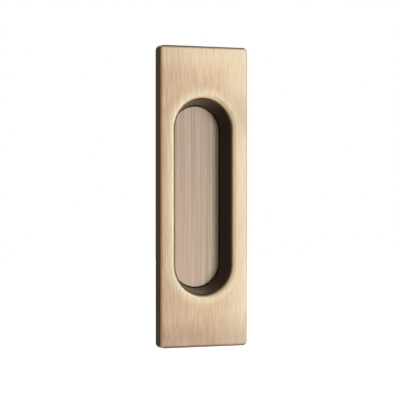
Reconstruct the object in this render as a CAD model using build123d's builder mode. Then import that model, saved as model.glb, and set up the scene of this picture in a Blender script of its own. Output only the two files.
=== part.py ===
from build123d import *
from math import cos, radians, tan
import os

os.makedirs("parts", exist_ok=True)

# Flush pull for a sliding door: a die-cast face plate with a long finger recess.
# The recess goes through the door's face, and a thin cover glued to its floor hides two screws.
# Millimetres. +Z is up, +X is to the right, and the plate faces -Y.
# The origin is on the door's face, at the middle of the plate's back rim.
# A height is measured from the door's face towards the room, so it is -Y.
# A depth is measured from the plate's front face into the door, so it is +Y.

# Face plate
plate_height = 150.0
plate_width = 46.6
plate_thickness = 7.0
plate_corner_radius = 2.5
plate_side_draft = 1.5
front_edge_radius = 0.8
face_wall = 2.2

# Hollow back
skirt_wall = 2.2
pocket_corner_radius = 1.2
rib_thickness = 1.2
rib_pitch = 22.0
rib_count = 5
rib_setback = 0.8
root_chamfer = 0.8

# Finger recess, with its mouth measured before the lip is rounded
mouth_width = 30.2
mouth_length = 98.2
recess_depth = 13.0
recess_side_draft = 9.85
recess_end_draft = 13.7
lip_radius = 2.5
cup_wall = 2.0
cup_floor = 2.4
cup_bottom_chamfer = 1.4

# Cover over the screws, and the adhesive pad under it
cover_thickness = 1.0
cover_clearance = 0.1
cover_edge_chamfer = 0.2
pad_thickness = 0.5
pad_inset = 1.2

# Countersunk wood screws, each at a distance inside the recess's upper or lower end
screw_end_distance = 17.1
screw_length = 16.0
screw_thread_diameter = 3.5
screw_core_diameter = 2.4
screw_neck_length = 0.8
screw_tip_length = 3.5
screw_tip_diameter = 0.6
screw_head_diameter = 6.6
screw_head_rim = 0.3
screw_head_clearance = 0.1
screw_hole_clearance = 0.3
countersink_angle = 90.0

# Depths of the layers behind the plate's front face
cover_back_depth = recess_depth + cover_thickness
cup_floor_depth = cover_back_depth + pad_thickness
cup_back_depth = cup_floor_depth + cup_floor

# Places of the screws
screw_spacing = mouth_length - 2 * screw_end_distance
screw_head_depth = cup_floor_depth + screw_head_clearance
screw_cone_depth = screw_head_depth + screw_head_rim


def at_height(height):
    """The plane parallel to the door's face at a height, seen from the room with +Z up."""
    return Plane.XZ.offset(height)


def at_depth(depth):
    """The plane parallel to the door's face at a depth behind the plate's front."""
    return at_height(plate_thickness - depth)


def recess_outline(depth, wall=0.0):
    """The recess's oblong outline at a depth, grown outwards by a wall measured square to its side."""
    side_shift = wall / cos(radians(recess_side_draft)) - depth * tan(radians(recess_side_draft))
    end_shift = wall / cos(radians(recess_end_draft)) - depth * tan(radians(recess_end_draft))
    SlotOverall(mouth_length + 2 * end_shift, mouth_width + 2 * side_shift, rotation=90)


# Body: face plate, skirt, ribs and recess in one casting
with BuildPart() as body:
    with BuildSketch(at_height(0)):
        RectangleRounded(plate_width, plate_height, plate_corner_radius)
    extrude(amount=plate_thickness, taper=plate_side_draft)
    fillet(body.faces().sort_by(Axis.Y)[0].edges(), front_edge_radius)

    # Open pocket behind the face, inside the skirt that rests on the door
    with BuildSketch(at_height(0)):
        RectangleRounded(
            plate_width - 2 * skirt_wall,
            plate_height - 2 * skirt_wall,
            pocket_corner_radius,
        )
    extrude(amount=plate_thickness - face_wall, taper=plate_side_draft, mode=Mode.SUBTRACT)

    # Outside of the cup, from within the face wall to its bevelled bottom
    with BuildSketch(at_depth(face_wall / 2)):
        recess_outline(face_wall / 2, cup_wall)
    extrude(amount=face_wall / 2 - cup_back_depth, taper=recess_side_draft)
    chamfer(body.faces().sort_by(Axis.Y)[-1].edges(), cup_bottom_chamfer)
    underside = body.faces().filter_by(Plane.XZ).sort_by(Axis.Y)[1]
    chamfer(underside.inner_wires()[0].edges(), root_chamfer)

    # Ribs across the pocket, a little short of the door's face
    with BuildSketch(at_height(rib_setback)):
        with GridLocations(0, rib_pitch, 1, rib_count):
            Rectangle(plate_width - skirt_wall, rib_thickness)
        Rectangle(rib_thickness, plate_height - skirt_wall)
    extrude(amount=plate_thickness - face_wall / 2 - rib_setback)

    # Inside of the cup, and its rounded lip
    with BuildSketch(at_depth(0)):
        recess_outline(0)
    with BuildSketch(at_depth(cup_floor_depth)):
        recess_outline(cup_floor_depth)
    loft(ruled=True, mode=Mode.SUBTRACT)
    front_face = body.faces().sort_by(Axis.Y)[0]
    fillet(front_face.inner_wires()[0].edges(), lip_radius)

    # Countersunk holes through the cup's floor, each cone as deep as the screw's
    with Locations(at_depth(screw_cone_depth)):
        with GridLocations(0, screw_spacing, 1, 2):
            CounterSinkHole(
                radius=screw_thread_diameter / 2 + screw_hole_clearance,
                counter_sink_radius=screw_head_diameter / 2 + screw_head_clearance,
                depth=cup_floor,
                counter_sink_angle=countersink_angle,
            )
body.part.label = "body"
export_step(body.part, "parts/body.step")


# Cover plate: a stamped oblong that lies on the adhesive pad, clear of the drafted wall
with BuildPart() as cover_plate:
    with BuildSketch(at_depth(cover_back_depth)):
        recess_outline(cover_back_depth, -cover_clearance)
    extrude(amount=cover_thickness)
    chamfer(cover_plate.faces().sort_by(Axis.Y)[0].edges(), cover_edge_chamfer)
cover_plate.part.label = "cover_plate"
export_step(cover_plate.part, "parts/cover_plate.step")

# Adhesive pad: die-cut foam tape, a little inside the cover's outline
with BuildPart() as adhesive_pad:
    with BuildSketch(at_depth(cup_floor_depth)):
        recess_outline(cover_back_depth, -pad_inset)
    extrude(amount=pad_thickness)
adhesive_pad.part.label = "adhesive_pad"
export_step(adhesive_pad.part, "parts/adhesive_pad.step")


def make_screw(label, screw_z):
    """A countersunk wood screw that points along +Y, with its head in the cup's floor and a plain thread."""
    head_radius = screw_head_diameter / 2
    core_radius = screw_core_diameter / 2
    thread_radius = screw_thread_diameter / 2
    head_top = screw_head_depth - plate_thickness
    cone_top = screw_cone_depth - plate_thickness
    cone_end = cone_top + (head_radius - core_radius) / tan(radians(countersink_angle / 2))
    thread_start = cone_end + screw_neck_length
    tip = head_top + screw_length
    with BuildPart() as screw:
        with BuildSketch(Plane.XY.offset(screw_z)):
            with BuildLine():
                Polyline(
                    (0, head_top),
                    (head_radius, head_top),
                    (head_radius, cone_top),
                    (core_radius, cone_end),
                    (core_radius, thread_start),
                    (thread_radius, thread_start),
                    (thread_radius, tip - screw_tip_length),
                    (screw_tip_diameter / 2, tip),
                    (0, tip),
                    close=True,
                )
            make_face()
        revolve(axis=Axis((0, 0, screw_z), (0, 1, 0)))
    screw.part.label = label
    export_step(screw.part, f"parts/{label}.step")


make_screw("upper_screw", screw_spacing / 2)
make_screw("lower_screw", -screw_spacing / 2)
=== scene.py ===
import math
from types import SimpleNamespace

import bmesh
import bpy
from mathutils import Matrix, Vector


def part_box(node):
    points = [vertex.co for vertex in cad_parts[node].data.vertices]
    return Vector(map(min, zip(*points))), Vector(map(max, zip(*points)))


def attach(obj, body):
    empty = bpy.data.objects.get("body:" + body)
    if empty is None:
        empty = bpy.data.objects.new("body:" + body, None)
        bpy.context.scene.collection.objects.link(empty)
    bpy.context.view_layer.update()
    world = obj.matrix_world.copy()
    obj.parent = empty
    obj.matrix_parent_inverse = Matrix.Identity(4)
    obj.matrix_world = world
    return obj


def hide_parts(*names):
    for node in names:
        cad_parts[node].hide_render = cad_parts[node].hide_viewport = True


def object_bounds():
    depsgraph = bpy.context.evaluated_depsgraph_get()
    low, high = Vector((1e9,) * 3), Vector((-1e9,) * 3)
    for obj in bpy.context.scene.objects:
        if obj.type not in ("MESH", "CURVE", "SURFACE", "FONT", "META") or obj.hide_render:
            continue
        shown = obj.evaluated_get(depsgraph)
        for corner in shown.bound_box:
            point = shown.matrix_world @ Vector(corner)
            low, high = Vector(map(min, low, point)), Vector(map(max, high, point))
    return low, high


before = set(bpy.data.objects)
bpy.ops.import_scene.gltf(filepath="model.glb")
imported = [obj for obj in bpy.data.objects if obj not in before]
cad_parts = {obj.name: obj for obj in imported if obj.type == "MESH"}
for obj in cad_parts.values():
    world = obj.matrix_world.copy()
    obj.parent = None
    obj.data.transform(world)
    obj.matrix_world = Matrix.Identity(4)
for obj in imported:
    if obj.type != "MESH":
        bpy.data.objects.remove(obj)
cad_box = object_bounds()

bl_info = {
    "name": "Flush Pull for a Sliding Door",
    "version": (1, 0, 0),
    "blender": (4, 5, 0),
    "location": "3D View > Sidebar > Flush Pull",
    "description": "Finishes, screws and studio for a flush pull in brushed antique brass",
    "category": "Object",
}

# Metres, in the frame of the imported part. +Z is up, the plate faces -Y, and the door is at y = 0.
MM = 0.001
BODY = "root"

# The plate's upper end, and the recess's opening in its face
PLATE_END = cad_box[1].z
OPENING_RADIUS = 15.1 * MM
OPENING_STRAIGHT = 68.0 * MM

# The way that the brush went, tilted a little so that it lies along no normal
UPRIGHT = (0.02, 0.01, 1.0)

# The noise where a brush mark is darkest and lightest, on the casting and on the cover
CAST_MARKS = (0.35, 0.65)
SHEET_MARKS = (0.32, 0.68)

# The setting of a ramp that starts and ends softly
SMOOTH = {"interpolation_type": "SMOOTHSTEP"}


def linear(code):
    """Turns an sRGB hex colour into linear red, green and blue."""
    shares = [int(code[i : i + 2], 16) / 255 for i in (1, 3, 5)]
    return [s / 12.92 if s <= 0.04045 else ((s + 0.055) / 1.055) ** 2.4 for s in shares]


class FinishSettings(bpy.types.PropertyGroup):
    """Colours of the metals, and the width of the brush marks."""

    clean_brass: bpy.props.FloatVectorProperty(
        name="Clean Brass",
        description="Antique brass where the brush has bared it",
        subtype="COLOR",
        size=3,
        min=0,
        max=1,
        default=linear("#D6BA96"),
    )
    warm_brass: bpy.props.FloatVectorProperty(
        name="Warm Brass",
        description="Antique brass where the brush has left a little of the stain's red",
        subtype="COLOR",
        size=3,
        min=0,
        max=1,
        default=linear("#D5B593"),
    )
    # Painted shade: a darker, browner brass for the face's foot, its left side and a band level
    # with the recess's upper end
    shade_brass: bpy.props.FloatVectorProperty(
        name="Shaded Brass",
        description="Antique brass with a thin haze of stain, inside the plate's edge",
        subtype="COLOR",
        size=3,
        min=0,
        max=1,
        default=linear("#B4967B"),
    )
    # Painted highlight: a paler brass round the recess, on the plate's head and down its right side
    highlight_brass: bpy.props.FloatVectorProperty(
        name="Highlight Brass",
        description="Brass that fingers have buffed round the recess",
        subtype="COLOR",
        size=3,
        min=0,
        max=1,
        default=linear("#E8D6B6"),
    )
    # Brown of half-brushed rounded edges, and painted shade along the face's left edge and the
    # recess's right lip
    tinge_and_shade_brass: bpy.props.FloatVectorProperty(
        name="Tinged Brass",
        description="Half-brushed brass along the rounded edges",
        subtype="COLOR",
        size=3,
        min=0,
        max=1,
        default=linear("#A0784A"),
    )
    stained_brass: bpy.props.FloatVectorProperty(
        name="Stained Brass",
        description="Dark chemical stain that the brush doesn't reach",
        subtype="COLOR",
        size=3,
        min=0,
        max=1,
        default=linear("#362C23"),
    )
    cover_brass: bpy.props.FloatVectorProperty(
        name="Cover Brass",
        description="Sheet brass of the recess's floor",
        subtype="COLOR",
        size=3,
        min=0,
        max=1,
        default=linear("#BFAE94"),
    )
    cover_copper: bpy.props.FloatVectorProperty(
        name="Cover Copper",
        description="Sheet brass with a redder tint, which runs through it in bands",
        subtype="COLOR",
        size=3,
        min=0,
        max=1,
        default=linear("#CAA997"),
    )
    face_streak: bpy.props.FloatProperty(
        name="Face Streak",
        description="Width of a brush mark on the face",
        subtype="DISTANCE",
        unit="LENGTH",
        min=0.05 * MM,
        default=0.34 * MM,
    )
    cover_streak: bpy.props.FloatProperty(
        name="Cover Streak",
        description="Width of a brush mark on the cover",
        subtype="DISTANCE",
        unit="LENGTH",
        min=0.05 * MM,
        default=0.42 * MM,
    )


class ScrewSettings(bpy.types.PropertyGroup):
    """Sizes of the two wood screws."""

    core_radius: bpy.props.FloatProperty(
        name="Core Radius",
        description="Radius of the screw between its threads",
        subtype="DISTANCE",
        unit="LENGTH",
        default=1.2 * MM,
    )
    thread_radius: bpy.props.FloatProperty(
        name="Thread Radius",
        description="Radius of the screw over its thread",
        subtype="DISTANCE",
        unit="LENGTH",
        default=1.75 * MM,
    )
    pitch: bpy.props.FloatProperty(
        name="Pitch",
        description="Distance between two turns of the thread",
        subtype="DISTANCE",
        unit="LENGTH",
        default=1.6 * MM,
    )
    head_rim: bpy.props.FloatProperty(
        name="Head Rim",
        description="Height of the straight rim above the head's cone",
        subtype="DISTANCE",
        unit="LENGTH",
        default=0.3 * MM,
    )
    neck_length: bpy.props.FloatProperty(
        name="Neck Length",
        description="Length of the plain neck between the head and the thread",
        subtype="DISTANCE",
        unit="LENGTH",
        default=0.8 * MM,
    )
    tip_length: bpy.props.FloatProperty(
        name="Tip Length",
        description="Length over which the screw narrows to its point",
        subtype="DISTANCE",
        unit="LENGTH",
        default=3.5 * MM,
    )
    drive_width: bpy.props.FloatProperty(
        name="Drive Width",
        description="Distance across the cross drive",
        subtype="DISTANCE",
        unit="LENGTH",
        default=3.8 * MM,
    )
    drive_depth: bpy.props.FloatProperty(
        name="Drive Depth",
        description="Depth of the cross drive",
        subtype="DISTANCE",
        unit="LENGTH",
        default=1.8 * MM,
    )


def join(node, inputs):
    """Sets or links a node's inputs, by name or as a list in the order that the node shows.

    An input is a value, another node's output, or a node, which stands for its shown output."""
    if not isinstance(inputs, dict):
        shown = [number for number, socket in enumerate(node.inputs) if socket.enabled]
        inputs = dict(zip(shown, inputs))
    for key, value in inputs.items():
        socket = node.inputs[key]
        if isinstance(value, bpy.types.Node):
            value = next(output for output in value.outputs if output.enabled)
        if isinstance(value, bpy.types.NodeSocket):
            node.id_data.links.new(value, socket)
        elif socket.type == "RGBA":
            socket.default_value = (*value, 1.0)
        else:
            socket.default_value = value


def add(tree, kind, inputs=(), **settings):
    """Adds a node with its settings and links."""
    node = tree.nodes.new(kind)
    for name, value in settings.items():
        setattr(node, name, value)
    join(node, inputs)
    return node


def start_material(name):
    """A material, its nodes and its Principled BSDF."""
    material = bpy.data.materials.new(name)
    material.use_nodes = True
    return material, material.node_tree, material.node_tree.nodes["Principled BSDF"]


def toned(value, share):
    """A colour made lighter or darker by a share of itself."""
    return [min(1.0, c * (1 + share)) for c in value]


def casting_places(tree, where, normal, hairs):
    """Where a point of the casting lies, with distances in metres, and which way it is turned."""
    axes = add(tree, "ShaderNodeSeparateXYZ", [where]).outputs
    at = SimpleNamespace(where=where, x=axes["X"], z=axes["Z"])
    # The same without its signs, because the plate's two halves are alike
    at.sides = add(tree, "ShaderNodeVectorMath", [where], operation="ABSOLUTE")
    at.height = add(tree, "ShaderNodeSeparateXYZ", [at.sides]).outputs["Z"]

    # Distance in from the plate's outer edge
    inset = add(tree, "ShaderNodeVectorMath", [cad_box[1], at.sides], operation="SUBTRACT")
    inset = add(tree, "ShaderNodeSeparateXYZ", [inset]).outputs
    at.inset = add(tree, "ShaderNodeMath", [inset["X"], inset["Z"]], operation="MINIMUM")

    # Distance out from the middle line of the recess's opening
    beyond = add(tree, "ShaderNodeMath", [at.height, OPENING_STRAIGHT / 2], operation="SUBTRACT")
    beyond = add(tree, "ShaderNodeMath", [beyond, 0.0], operation="MAXIMUM")
    reach = add(tree, "ShaderNodeCombineXYZ", [at.x, 0.0, beyond])
    at.reach = add(tree, "ShaderNodeVectorMath", [reach], operation="LENGTH")

    # 1 faces the door, 0 faces sideways and -1 faces the room. The brush marks fray it a little.
    turned = add(tree, "ShaderNodeSeparateXYZ", [normal]).outputs["Y"]
    at.turned = add(tree, "ShaderNodeMath", [hairs, 0.10, turned], operation="MULTIPLY_ADD")

    # 1 on the side that faces the door
    at.behind = add(tree, "ShaderNodeMapRange", [at.turned, 0.10, 0.40])

    # 1 in the recess
    within = [at.reach, OPENING_RADIUS + 0.2 * MM, OPENING_RADIUS - 0.8 * MM]
    within = add(tree, "ShaderNodeMapRange", within)
    front = add(tree, "ShaderNodeMapRange", [at.turned, 0.08, 0.0])
    at.inside = add(tree, "ShaderNodeMath", [within, front], operation="MULTIPLY")
    return at


def stain_share(tree, at):
    """How much of the stain is left on the casting."""
    # The brush rounds the plate's outer edges, but hardly turns in over the recess's lip
    outer = add(tree, "ShaderNodeMapRange", [at.turned, -0.60, -0.14], **SMOOTH)
    inner = add(tree, "ShaderNodeMapRange", [at.turned, -0.68, -0.08], **SMOOTH)
    lip = [at.reach, OPENING_RADIUS + 5 * MM, OPENING_RADIUS + 4 * MM]
    lip = add(tree, "ShaderNodeMapRange", lip)
    stain = add(tree, "ShaderNodeMix", [lip, outer, inner])
    # It hardly turns over the plate's two ends either
    ends = [at.height, PLATE_END - 1.6 * MM, PLATE_END - 0.6 * MM, 0.0, 0.8]
    ends = add(tree, "ShaderNodeMapRange", ends)
    return add(tree, "ShaderNodeMath", [stain, ends], operation="MAXIMUM")


def tinge_and_shade(tree, at, hairs):
    """How much brown the brush has left on the brass that it bared, and painted shade at the left
    edge and the recess's right lip.
    """
    tinge = add(tree, "ShaderNodeMapRange", [at.turned, -0.97, -0.55], **SMOOTH)
    # It runs in along the face from the plate's outer edge, at the left only, as painted shade
    edge = add(tree, "ShaderNodeMath", [hairs, 1.0 * MM, at.inset], operation="MULTIPLY_ADD")
    edge = add(tree, "ShaderNodeMapRange", [edge, 2.5 * MM, 1.1 * MM, 0.0, 0.90], **SMOOTH)
    left = add(tree, "ShaderNodeMapRange", [at.x, 15 * MM, -15 * MM])
    edge = add(tree, "ShaderNodeMath", [edge, left], operation="MULTIPLY")
    tinge = add(tree, "ShaderNodeMath", [tinge, edge], operation="MAXIMUM")
    # It also runs along the recess's lip, at the right only, as painted shade
    lip = [at.reach, OPENING_RADIUS + 3.2 * MM, OPENING_RADIUS + 0.8 * MM, 0.0, 0.35]
    lip = add(tree, "ShaderNodeMapRange", lip, **SMOOTH)
    right = add(tree, "ShaderNodeMapRange", [at.x, 0.0, 9 * MM])
    lip = add(tree, "ShaderNodeMath", [lip, right], operation="MULTIPLY")
    tinge = add(tree, "ShaderNodeMath", [tinge, lip], operation="MAXIMUM")
    # There is little of it at the plate's two ends
    ends = [at.height, PLATE_END - 1.6 * MM, PLATE_END - 0.6 * MM, 1.0, 0.2]
    ends = add(tree, "ShaderNodeMapRange", ends)
    return add(tree, "ShaderNodeMath", [tinge, ends], operation="MULTIPLY")


def painted_shade(tree, at, clouds):
    """How much painted shade lies over the brass that the brush bared."""
    # Painted shade at the plate's foot, deeper towards the left and uneven
    foot = add(tree, "ShaderNodeMapRange", [at.z, -56 * MM, -70 * MM], **SMOOTH)
    left = add(tree, "ShaderNodeMapRange", [at.x, -20 * MM, 20 * MM, 0.9, 0.5])
    foot = add(tree, "ShaderNodeMath", [foot, left], operation="MULTIPLY")
    uneven = add(tree, "ShaderNodeMapRange", [clouds, 0.3, 0.6, 0.6, 1.0])
    foot = add(tree, "ShaderNodeMath", [foot, uneven], operation="MULTIPLY")
    # Fainter painted shade across the plate, level with the recess's upper end
    level = add(tree, "ShaderNodeMath", [at.z, 41 * MM], operation="SUBTRACT")
    level = add(tree, "ShaderNodeMath", [level], operation="ABSOLUTE")
    level = add(tree, "ShaderNodeMapRange", [level, 18 * MM, 0.0, 0.0, 0.45], **SMOOTH)
    # And painted shade down its left side, but in both places less on the painted highlight round
    # the recess
    side = add(tree, "ShaderNodeMapRange", [at.x, -2 * MM, -20 * MM, 0.0, 0.34])
    faint = add(tree, "ShaderNodeMath", [level, side], operation="MAXIMUM")
    apart = [at.reach, OPENING_RADIUS + 2 * MM, OPENING_RADIUS + 6 * MM, 0.3]
    apart = add(tree, "ShaderNodeMapRange", apart)
    faint = add(tree, "ShaderNodeMath", [faint, apart], operation="MULTIPLY")
    return add(tree, "ShaderNodeMath", [foot, faint], operation="MAXIMUM")


def bared_brass(tree, finish, at, hairs, clouds):
    """The colour of the brass that the brush bared, with painted highlight and painted shade on it.
    """
    # Painted highlight on the plate's head and down its right side
    head = add(tree, "ShaderNodeMapRange", [at.z, 58 * MM, 70 * MM, 0.0, 0.65], **SMOOTH)
    right = add(tree, "ShaderNodeMapRange", [at.x, 4 * MM, 23 * MM, 0.0, 0.8])
    lit_head_and_right = add(tree, "ShaderNodeMath", [head, right], operation="MAXIMUM")
    # A pale painted highlight round the recess
    ring = [at.reach, OPENING_RADIUS + 7 * MM, OPENING_RADIUS + 1 * MM, 0.0, 0.90]
    ring = add(tree, "ShaderNodeMapRange", ring, **SMOOTH)
    painted_highlight = add(tree, "ShaderNodeMath", [ring, lit_head_and_right], operation="MAXIMUM")

    cloudy = add(tree, "ShaderNodeMapRange", [clouds, 0.35, 0.65])
    bare = [cloudy, finish.clean_brass, finish.warm_brass]
    bare = add(tree, "ShaderNodeMix", bare, data_type="RGBA")
    for share, tone in (
        (painted_highlight, finish.highlight_brass),
        (painted_shade(tree, at, clouds), finish.shade_brass),
        (tinge_and_shade(tree, at, hairs), finish.tinge_and_shade_brass),
    ):
        bare = add(tree, "ShaderNodeMix", [share, bare, tone], data_type="RGBA")

    # Each brush mark is a little lighter or darker than the next, and fainter under the painted
    # highlight on the head and right side
    clear = add(tree, "ShaderNodeMapRange", [hairs, *CAST_MARKS, 0.82, 1.17])
    faint = add(tree, "ShaderNodeMapRange", [hairs, *CAST_MARKS, 0.93, 1.06])
    marked = add(tree, "ShaderNodeMix", [lit_head_and_right, clear, faint])
    return add(tree, "ShaderNodeVectorMath", [bare, marked], operation="SCALE")


def stained_skin(tree, finish, at, lit_ends):
    """The colour of the stain that the brush left alone, with painted light on the recess's two
    ends.
    """
    # It is mottled, as chemical stain is
    mottle = {"Vector": at.where, "Scale": 1 / (1.8 * MM), "Detail": 4.0}
    mottle = add(tree, "ShaderNodeTexNoise", mottle)
    mottle = add(tree, "ShaderNodeMapRange", [mottle, 0.35, 0.65])
    skin = [mottle, toned(finish.stained_brass, -0.18), toned(finish.stained_brass, 0.18)]
    skin = add(tree, "ShaderNodeMix", skin, data_type="RGBA")
    # It was never rubbed in on the side that faces the door, and is thickest in the recess. On the
    # recess's two ends it is painted lighter towards the left, as painted light.
    for share, change in ((at.behind, 1.2), (at.inside, -0.8), (lit_ends, 1.0)):
        skin = [share, skin, toned(finish.stained_brass, change)]
        skin = add(tree, "ShaderNodeMix", skin, data_type="RGBA")
    return skin


def casting_relief(tree, at, hairs, stain):
    """Marks of ejector pins, the cast skin's grain and the brush marks, one over the other."""
    # Four round marks in the hollows of the back, 5 mm across and 0.15 mm deep
    pins = [at.sides, (10.5 * MM, 0, 62 * MM)]
    pins = add(tree, "ShaderNodeVectorMath", pins, operation="SUBTRACT")
    pins = add(tree, "ShaderNodeVectorMath", [pins, (1, 0, 1)], operation="MULTIPLY")
    pins = add(tree, "ShaderNodeVectorMath", [pins], operation="LENGTH")
    pins = add(tree, "ShaderNodeMapRange", [pins, 2.3 * MM, 2.6 * MM])
    pins = add(tree, "ShaderNodeMath", [pins, at.behind], operation="MULTIPLY")
    pins = {"Height": pins, "Strength": 1.0, "Distance": 0.15 * MM}
    pins = add(tree, "ShaderNodeBump", pins)
    # The grain stands about 10 micrometres high, and the brush marks about 4
    grain = {"Vector": at.where, "Scale": 1 / (0.5 * MM), "Detail": 3.0}
    grain = add(tree, "ShaderNodeTexNoise", grain)
    grain = add(tree, "ShaderNodeMath", [grain, stain], operation="MULTIPLY")
    grain = {"Height": grain, "Strength": 0.5, "Distance": 0.02 * MM, "Normal": pins}
    grain = add(tree, "ShaderNodeBump", grain)
    marks = {"Height": hairs, "Strength": 0.5, "Distance": 0.008 * MM, "Normal": grain}
    return add(tree, "ShaderNodeBump", marks)


def brass_casting(finish):
    """Antique brass plate on a zinc die casting, brushed on its face and lacquered."""
    # Bare metal where the brush went: a broad, soft shine, drawn sideways by upright brush marks.
    # The stain stays on all that turns away from the front. The lacquer adds a thin white sheen.
    name = "Antique brass plate on zinc casting, brushed and lacquered"
    material, tree, shader = start_material(name)
    coordinates = add(tree, "ShaderNodeTexCoord").outputs
    where, normal = coordinates["Object"], coordinates["Normal"]

    # Brush marks are 10 mm long, and about 0.1 mm wide in the metal. They are drawn wider, so
    # that they show.
    width, length = finish.face_streak, 10 * MM
    place = {"Vector": where, "Scale": (1 / width, 1 / width, 1 / length)}
    place = add(tree, "ShaderNodeMapping", place)
    hairs = {"Vector": place, "Scale": 1.0, "Detail": 3.0, "Roughness": 0.75}
    hairs = add(tree, "ShaderNodeTexNoise", hairs)
    # Slow clouds in the bare metal, where the stain was wiped off unevenly
    width, length = 7 * MM, 12 * MM
    place = {"Vector": where, "Scale": (1 / width, 1 / width, 1 / length)}
    place = add(tree, "ShaderNodeMapping", place)
    clouds = {"Vector": place, "Scale": 1.0, "Detail": 2.0}
    clouds = add(tree, "ShaderNodeTexNoise", clouds)

    at = casting_places(tree, where, normal, hairs)
    stain = stain_share(tree, at)
    # In the recess the two ends are painted lighter towards the left, as painted light on the end
    # walls
    lit_ends = [at.height, OPENING_STRAIGHT / 2, OPENING_STRAIGHT / 2 + 9 * MM]
    lit_ends = add(tree, "ShaderNodeMapRange", lit_ends)
    left = add(tree, "ShaderNodeMapRange", [at.x, 10 * MM, -2 * MM, 0.1])
    lit_ends = add(tree, "ShaderNodeMath", [lit_ends, left], operation="MULTIPLY")
    lit_ends = add(tree, "ShaderNodeMath", [lit_ends, at.inside], operation="MULTIPLY")

    bare = bared_brass(tree, finish, at, hairs, clouds)
    dark = stained_skin(tree, finish, at, lit_ends)
    tone = add(tree, "ShaderNodeMix", [stain, bare, dark], data_type="RGBA")
    brushed = add(tree, "ShaderNodeMapRange", [hairs, *CAST_MARKS, 0.45, 0.38])
    rough = add(tree, "ShaderNodeMix", [stain, brushed, 0.42])
    # The stain has drunk up most of the lacquer, and little of it was sprayed into the recess
    outside = add(tree, "ShaderNodeMapRange", [stain, 0.0, 1.0, 1.0, 0.35])
    # The lacquer is thicker on the recess's two ends, along the same painted light
    within = add(tree, "ShaderNodeMapRange", [lit_ends, 0.0, 1.0, 0.08, 0.4])
    lacquer = add(tree, "ShaderNodeMix", [at.inside, outside, within])
    across = add(tree, "ShaderNodeVectorMath", [normal, UPRIGHT], operation="CROSS_PRODUCT")
    join(
        shader,
        {
            "Base Color": tone,
            "Metallic": 1.0,
            "Roughness": rough,
            "Normal": casting_relief(tree, at, hairs, stain),
            "Anisotropic": 0.6,
            "Tangent": across,
            "Coat Weight": lacquer,
            "Coat Roughness": 0.22,
            "Coat IOR": 1.62,
        },
    )
    return material


def brass_sheet(finish):
    """Brass sheet, brushed along its length and lacquered."""
    # Flatter and greyer than the casting, with coarser marks. It mirrors the recess's wall.
    material, tree, shader = start_material("Brass sheet, brushed and lacquered")
    coordinates = add(tree, "ShaderNodeTexCoord").outputs
    where, normal = coordinates["Object"], coordinates["Normal"]
    # Brush marks run nearly all along it. Real ones are about 0.2 mm wide, and are drawn wider,
    # so that they show.
    width, length = finish.cover_streak, 80 * MM
    place = {"Vector": where, "Scale": (1 / width, 1 / width, 1 / length)}
    place = add(tree, "ShaderNodeMapping", place)
    hairs = {"Vector": place, "Scale": 1.0, "Detail": 3.0, "Roughness": 0.7}
    hairs = add(tree, "ShaderNodeTexNoise", hairs)

    # Redder bands, denser at the left
    width, length = 0.6 * MM, 60 * MM
    place = {"Vector": where, "Scale": (1 / width, 1 / width, 1 / length)}
    place = add(tree, "ShaderNodeMapping", place)
    bands = {"Vector": place, "Scale": 1.0, "Detail": 2.0}
    bands = add(tree, "ShaderNodeTexNoise", bands)
    bands = add(tree, "ShaderNodeMapRange", [bands, 0.25, 0.6])
    axes = add(tree, "ShaderNodeSeparateXYZ", [where]).outputs
    left = add(tree, "ShaderNodeMapRange", [axes["X"], 6 * MM, -8 * MM, 0.45])
    reds = add(tree, "ShaderNodeMath", [bands, left], operation="MULTIPLY")
    tone = [reds, finish.cover_brass, finish.cover_copper]
    tone = add(tree, "ShaderNodeMix", tone, data_type="RGBA")
    # It is painted darker towards its upper end, as painted shade under the recess's lip
    upper_shade = add(tree, "ShaderNodeMapRange", [axes["Z"], -40 * MM, 44 * MM, 0.0, 0.3])
    tone = [upper_shade, tone, toned(finish.cover_brass, -0.6)]
    tone = add(tree, "ShaderNodeMix", tone, data_type="RGBA")
    # Each brush mark is lighter or darker than the next
    marks = add(tree, "ShaderNodeMapRange", [hairs, *SHEET_MARKS, 0.71, 1.23])
    tone = add(tree, "ShaderNodeVectorMath", [tone, marks], operation="SCALE")
    # The trimmed edge is rough and matt, and is painted much lighter, as painted light that lifts
    # it out of the shade by the wall
    turned = add(tree, "ShaderNodeSeparateXYZ", [normal]).outputs["Y"]
    lit_trimmed_edge = add(tree, "ShaderNodeMapRange", [turned, -0.95, -0.80])
    tone = [lit_trimmed_edge, tone, toned(finish.cover_brass, 1.2)]
    relief = {"Height": hairs, "Strength": 0.5, "Distance": 0.008 * MM}
    across = add(tree, "ShaderNodeVectorMath", [normal, UPRIGHT], operation="CROSS_PRODUCT")
    join(
        shader,
        {
            "Base Color": add(tree, "ShaderNodeMix", tone, data_type="RGBA"),
            "Metallic": add(tree, "ShaderNodeMapRange", [lit_trimmed_edge, 0.0, 1.0, 1.0, 0.0]),
            "Roughness": add(tree, "ShaderNodeMapRange", [hairs, *SHEET_MARKS, 0.28, 0.23]),
            "Normal": add(tree, "ShaderNodeBump", relief),
            "Anisotropic": 0.2,
            "Tangent": across,
            "Coat Weight": 1.0,
            "Coat Roughness": 0.15,
        },
    )
    return material


def foam_tape():
    """Closed-cell polyethylene foam, die-cut."""
    # Dull and white, with small pores.
    material, tree, shader = start_material("Polyethylene foam, die-cut")
    where = add(tree, "ShaderNodeTexCoord").outputs["Object"]
    pores = add(tree, "ShaderNodeTexVoronoi", {"Vector": where, "Scale": 1 / (0.4 * MM)})
    tone = [pores, linear("#D2D2CE"), linear("#E4E4E0")]
    relief = {"Height": pores, "Strength": 0.6, "Distance": 0.05 * MM}
    join(
        shader,
        {
            "Base Color": add(tree, "ShaderNodeMix", tone, data_type="RGBA"),
            "Roughness": 0.85,
            "Normal": add(tree, "ShaderNodeBump", relief),
        },
    )
    return material


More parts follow.
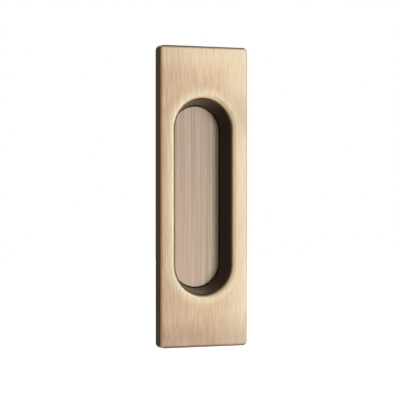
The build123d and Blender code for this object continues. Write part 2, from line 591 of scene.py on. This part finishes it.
def plated_steel():
    """Carbon steel, cold-formed with a rolled thread and bright zinc plate."""
    # Fairly bright and a little warm, and cloudy from the plating bath.
    material, tree, shader = start_material("Carbon steel, cold-formed and zinc-plated")
    where = add(tree, "ShaderNodeTexCoord").outputs["Object"]
    clouds = {"Vector": where, "Scale": 1 / (1.5 * MM), "Detail": 4.0}
    clouds = add(tree, "ShaderNodeTexNoise", clouds)
    tone = [clouds, linear("#ABA89E"), linear("#D7D4C8")]
    join(
        shader,
        {
            "Base Color": add(tree, "ShaderNodeMix", tone, data_type="RGBA"),
            "Metallic": 1.0,
            "Roughness": add(tree, "ShaderNodeMapRange", [clouds, 0.0, 1.0, 0.42, 0.24]),
        },
    )
    return material


def dress(node, material):
    """Gives a CAD node a finished material in place of its plain one."""
    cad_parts[node].material_slots[0].material = material


class DressBody(bpy.types.Operator):
    """Finishes the casting in brushed antique brass"""

    bl_idname = "flush_pull.dress_body"
    bl_label = "Finish the Casting"

    def execute(self, context):
        dress("body", brass_casting(context.scene.flush_pull_finish))
        return {"FINISHED"}


class DressCover(bpy.types.Operator):
    """Finishes the cover on the recess's floor in brushed sheet brass"""

    bl_idname = "flush_pull.dress_cover"
    bl_label = "Finish the Cover"

    def execute(self, context):
        dress("cover_plate", brass_sheet(context.scene.flush_pull_finish))
        return {"FINISHED"}


class DressPad(bpy.types.Operator):
    """Finishes the adhesive pad in foam"""

    bl_idname = "flush_pull.dress_pad"
    bl_label = "Finish the Adhesive Pad"

    def execute(self, context):
        dress("adhesive_pad", foam_tape())
        return {"FINISHED"}


def turn_shank(bm, sizes, head_radius, top, rim, neck, taper, tip):
    """Turns the head, neck, core and tip round the Y axis, and leaves the head's top open."""
    profile = [
        (head_radius, top),
        (head_radius, rim),
        (sizes.core_radius, neck),
        (sizes.core_radius, taper),
        (sizes.core_radius * 0.5, (taper + tip) / 2),
        (0, tip),
    ]
    verts = [bm.verts.new((radius, y, 0)) for radius, y in profile]
    edges = [bm.edges.new(pair) for pair in zip(verts, verts[1:])]
    bmesh.ops.spin(
        bm,
        geom=verts + edges,
        cent=(0, 0, 0),
        axis=(0, 1, 0),
        angle=math.tau,
        steps=32,
        use_merge=True,
    )
    bmesh.ops.remove_doubles(bm, verts=bm.verts, dist=0.001 * MM)


def press_drive(bm, sizes, top):
    """Closes the head's top with a cross drive that narrows downwards."""
    rim_loop = [edge for edge in bm.edges if edge.is_boundary]
    # Each arm is a quarter as wide as the whole cross, and the pit narrows to its foot
    reach, half_arm = sizes.drive_width / 2, sizes.drive_width / 8
    foot_share = 0.4
    corner = [(reach, half_arm), (half_arm, half_arm), (half_arm, reach)]
    cross = []
    for quarter in range(4):
        turn = Matrix.Rotation(quarter * math.pi / 2, 2)
        for x, z in [turn @ Vector(point) for point in corner]:
            cross.append(bm.verts.new((x, top, z)))
    cross_edges = [bm.edges.new(pair) for pair in zip(cross, cross[1:] + cross[:1])]
    bmesh.ops.bridge_loops(bm, edges=rim_loop + cross_edges)
    pit = bmesh.ops.extrude_edge_only(bm, edges=cross_edges)["geom"]
    pit_verts = [item for item in pit if isinstance(item, bmesh.types.BMVert)]
    bmesh.ops.scale(bm, verts=pit_verts, vec=(foot_share, 1, foot_share))
    bmesh.ops.translate(bm, verts=pit_verts, vec=(0, sizes.drive_depth, 0))
    bmesh.ops.contextual_create(bm, geom=[edge for edge in bm.edges if edge.is_boundary])


def roll_thread(bm, sizes, start, taper, tip):
    """Winds the thread's ridge round the core, from a place on the Y axis on."""
    steps_per_turn = 24
    end = tip - 0.3 * MM
    steps = round((end - start) / sizes.pitch * steps_per_turn)
    # The ridge's foot is inside the core, and its crest is nearly sharp
    root, crest = sizes.core_radius * 0.85, sizes.thread_radius
    half_foot, half_crest = 0.30 * sizes.pitch, 0.04 * sizes.pitch
    ridge = [
        (root, start - half_foot),
        (crest, start - half_crest),
        (crest, start + half_crest),
        (root, start + half_foot),
    ]
    before = set(bm.verts)
    verts = [bm.verts.new((radius, y, 0)) for radius, y in ridge]
    edges = [bm.edges.new(pair) for pair in zip(verts, verts[1:] + verts[:1])]
    bmesh.ops.spin(
        bm,
        geom=verts + edges,
        cent=(0, 0, 0),
        axis=(0, 1, 0),
        dvec=(0, sizes.pitch / steps_per_turn, 0),
        angle=math.tau * steps / steps_per_turn,
        steps=steps,
    )
    # The ridge's two ends are closed
    bmesh.ops.holes_fill(bm, edges=[edge for edge in bm.edges if edge.is_boundary], sides=8)

    sunk = sizes.core_radius * 0.9
    least_share = 0.12
    for vert in set(bm.verts) - before:
        radius = math.hypot(vert.co.x, vert.co.z)
        if radius > sizes.core_radius:
            # The thread rises out of the core over its first half turn
            risen = min(1.0, max(0.0, (vert.co.y - start) / (0.5 * sizes.pitch)))
            wanted = sunk + risen * (radius - sunk)
            vert.co.x *= wanted / radius
            vert.co.z *= wanted / radius
        if vert.co.y > taper:
            # It narrows with the tip
            share = max(least_share, (tip - vert.co.y) / (tip - taper))
            vert.co.x *= share
            vert.co.z *= share
        vert.co.y = min(vert.co.y, tip)


def screw_mesh(name, node, sizes):
    """A countersunk wood screw with a cross drive and a rolled thread, where the CAD node is."""
    low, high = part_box(node)
    top, tip = low.y, high.y
    head_radius = (high.x - low.x) / 2
    rim = top + sizes.head_rim
    # The head's cone has sides at 45 degrees
    neck = rim + head_radius - sizes.core_radius
    taper = tip - sizes.tip_length

    bm = bmesh.new()
    turn_shank(bm, sizes, head_radius, top, rim, neck, taper, tip)
    press_drive(bm, sizes, top)
    roll_thread(bm, sizes, neck + sizes.neck_length, taper, tip)
    bmesh.ops.translate(bm, verts=bm.verts, vec=(0, 0, (low.z + high.z) / 2))
    bmesh.ops.recalc_face_normals(bm, faces=bm.faces)

    mesh = bpy.data.meshes.new(name)
    bm.to_mesh(mesh)
    bm.free()
    mesh.shade_smooth()
    mesh.set_sharp_from_angle(angle=math.radians(40))
    screw = bpy.data.objects.new(name, mesh)
    bpy.context.scene.collection.objects.link(screw)
    return screw


class BuildScrews(bpy.types.Operator):
    """Builds the two wood screws that hold the pull in the door"""

    bl_idname = "flush_pull.build_screws"
    bl_label = "Build the Screws"

    def execute(self, context):
        steel = plated_steel()
        for node in ("upper_screw", "lower_screw"):
            screw = screw_mesh("threaded_" + node, node, context.scene.flush_pull_screws)
            screw.data.materials.append(steel)
            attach(screw, BODY)
            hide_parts(node)
        return {"FINISHED"}


# Name, azimuth and elevation in degrees, distance, width and height in metres, and brightness
SOFT_BOXES = (
    ("key", 45.0, 3.0, 0.49, 0.15, 0.42, 2.2),
    ("front", 27.0, -2.0, 0.45, 0.15, 0.38, 0.38),
    ("top", 25.0, 28.0, 0.52, 0.40, 0.12, 0.4),
    ("left_front", -38.0, 0.0, 0.60, 0.22, 0.60, 0.7),
    ("left", -70.0, 13.0, 0.60, 0.80, 0.58, 0.16),
    ("left_top", -45.0, 55.0, 0.60, 0.30, 0.30, 0.2),
    ("right", 100.0, 0.0, 0.60, 0.30, 0.90, 0.4),
    ("right_top", 90.0, 55.0, 0.60, 0.30, 0.30, 0.3),
    ("below", 20.0, -55.0, 0.60, 0.30, 0.30, 0.8),
)


def soft_box(name, azimuth, elevation, distance, width, height, brightness):
    """A soft box turned to the plate's middle.

    Azimuth 0 is straight in front of the plate and 90 is on its right. A mirror would show the box
    with its brightness, where 1 is white."""
    lamp = bpy.data.lights.new(name, "AREA")
    lamp.shape = "RECTANGLE"
    lamp.size, lamp.size_y = width, height
    lamp.energy = math.pi * width * height * brightness
    turn, rise = math.radians(azimuth), math.radians(elevation)
    level = math.cos(rise)
    outwards = Vector((math.sin(turn) * level, -math.cos(turn) * level, math.sin(rise)))
    holder = bpy.data.objects.new(name, lamp)
    holder.location = distance * outwards
    holder.rotation_euler = (-outwards).to_track_quat("-Z", "Y").to_euler()
    holder.visible_camera = False
    bpy.context.scene.collection.objects.link(holder)


def stage_board(name, width, depth, place):
    """A flat board of the studio, moved to its place by a matrix."""
    bm = bmesh.new()
    bmesh.ops.create_grid(bm, x_segments=1, y_segments=1, size=0.5)
    bmesh.ops.scale(bm, verts=bm.verts, vec=(width, depth, 1))
    bmesh.ops.transform(bm, verts=bm.verts, matrix=place)
    mesh = bpy.data.meshes.new(name)
    bm.to_mesh(mesh)
    bm.free()
    board = bpy.data.objects.new(name, mesh)
    bpy.context.scene.collection.objects.link(board)
    return board


def place_camera(scene):
    """A camera 21 degrees to the left of the plate's front, level with its middle."""
    turn = math.radians(21.0)
    distance = 0.705
    lens = bpy.data.cameras.new("camera")
    lens.lens = 127.6
    lens.sensor_width = 36.0
    # So that the plate stands where it does in the photo
    lens.shift_x, lens.shift_y = -0.0112, -0.0083
    lens.clip_start, lens.clip_end = 0.01, 50
    camera = bpy.data.objects.new("camera", lens)
    camera.location = Vector((0, cad_box[0].y, 0))
    camera.location -= distance * Vector((math.sin(turn), math.cos(turn), 0))
    camera.rotation_euler = (math.pi / 2, 0, -turn)
    scene.collection.objects.link(camera)
    scene.camera = camera


def tan_card():
    """A card at the left, behind the object, that keeps the plate's side dark."""
    upright = Matrix.Rotation(math.pi / 2, 4, "X")
    turned = Matrix.Rotation(math.radians(45), 4, "Z")
    place = Matrix.Translation((-0.14, 0.14, 0)) @ turned @ upright
    card = stage_board("card", 0.34, 0.5, place)
    card.visible_camera = False
    material, tree, shader = start_material("Painted card, tan and matt")
    join(shader, {"Base Color": linear("#C2AD95"), "Roughness": 0.9})
    card.data.materials.append(material)


def pale_floor():
    """A pale floor that glows where it is seen or mirrored."""
    floor = stage_board("floor", 8, 6, Matrix.Translation((0, 2.75, -0.3)))
    material, tree, shader = start_material("Painted board, pale and matt")
    path = add(tree, "ShaderNodeLightPath").outputs
    seen = [path["Is Camera Ray"], path["Is Glossy Ray"]]
    seen = add(tree, "ShaderNodeMath", seen, operation="MAXIMUM")
    seen = [seen, path["Is Transmission Ray"]]
    seen = add(tree, "ShaderNodeMath", seen, operation="MAXIMUM")
    join(
        shader,
        {
            "Base Color": linear("#EDEDEB"),
            "Roughness": 0.9,
            "Emission Color": (1, 1, 1),
            "Emission Strength": add(tree, "ShaderNodeMath", [seen, 0.8], operation="MULTIPLY"),
        },
    )
    floor.data.materials.append(material)


def room_light(scene):
    """A world that is white where it is seen. It lights the object softly, least from its sides."""
    world = bpy.data.worlds.new("studio")
    scene.world = world
    world.use_nodes = True
    tree = world.node_tree
    direction = add(tree, "ShaderNodeTexCoord").outputs["Generated"]
    # One brightness for each of the six sides, weighted by the squares of the direction
    squares = add(tree, "ShaderNodeVectorMath", [direction, direction], operation="MULTIPLY")
    signs = add(tree, "ShaderNodeVectorMath", [direction], operation="SIGN")
    signs = [signs, (0.5, 0.5, 0.5), (0.5, 0.5, 0.5)]
    signs = add(tree, "ShaderNodeVectorMath", signs, operation="MULTIPLY_ADD")
    left_front_below, right_back_above = (0.25, 0.80, 0.90), (0.15, 0.85, 0.60)
    sides = [signs, left_front_below, right_back_above]
    sides = add(tree, "ShaderNodeMix", sides, data_type="VECTOR", factor_mode="NON_UNIFORM")
    room = add(tree, "ShaderNodeVectorMath", [sides, squares], operation="DOT_PRODUCT")

    path = add(tree, "ShaderNodeLightPath").outputs
    seen = [path["Is Camera Ray"], path["Is Transmission Ray"]]
    seen = add(tree, "ShaderNodeMath", seen, operation="MAXIMUM")
    strength = add(tree, "ShaderNodeMix", [seen, room, 1.0])
    join(tree.nodes["Background"], {"Color": (1, 1, 1), "Strength": strength})


class SetStage(bpy.types.Operator):
    """Sets the camera, the lamps, the card, the pale floor and the white background"""

    bl_idname = "flush_pull.set_stage"
    bl_label = "Set the Stage"

    def execute(self, context):
        context.scene.view_settings.view_transform = "Standard"
        place_camera(context.scene)
        for box in SOFT_BOXES:
            soft_box(*box)
        tan_card()
        pale_floor()
        room_light(context.scene)
        return {"FINISHED"}


class FlushPullPanel(bpy.types.Panel):
    """Shows the flush pull's colours and sizes, and the steps that finish it"""

    bl_idname = "VIEW3D_PT_flush_pull"
    bl_label = "Flush Pull"
    bl_space_type = "VIEW_3D"
    bl_region_type = "UI"
    bl_category = "Flush Pull"

    def draw(self, context):
        for settings in (context.scene.flush_pull_finish, context.scene.flush_pull_screws):
            for name in settings.bl_rna.properties.keys():
                if name not in ("rna_type", "name"):
                    self.layout.prop(settings, name)
        for step in STEPS:
            self.layout.operator(step.bl_idname)


STEPS = (SetStage, DressBody, DressCover, DressPad, BuildScrews)
CLASSES = (FinishSettings, ScrewSettings, *STEPS, FlushPullPanel)


def register():
    for cls in CLASSES:
        bpy.utils.register_class(cls)
    bpy.types.Scene.flush_pull_finish = bpy.props.PointerProperty(type=FinishSettings)
    bpy.types.Scene.flush_pull_screws = bpy.props.PointerProperty(type=ScrewSettings)


def unregister():
    del bpy.types.Scene.flush_pull_screws
    del bpy.types.Scene.flush_pull_finish
    for cls in reversed(CLASSES):
        bpy.utils.unregister_class(cls)


def main():
    register()
    bpy.ops.flush_pull.set_stage()
    bpy.ops.flush_pull.dress_body()
    bpy.ops.flush_pull.dress_cover()
    bpy.ops.flush_pull.dress_pad()
    bpy.ops.flush_pull.build_screws()


if __name__ == "__main__":
    main()
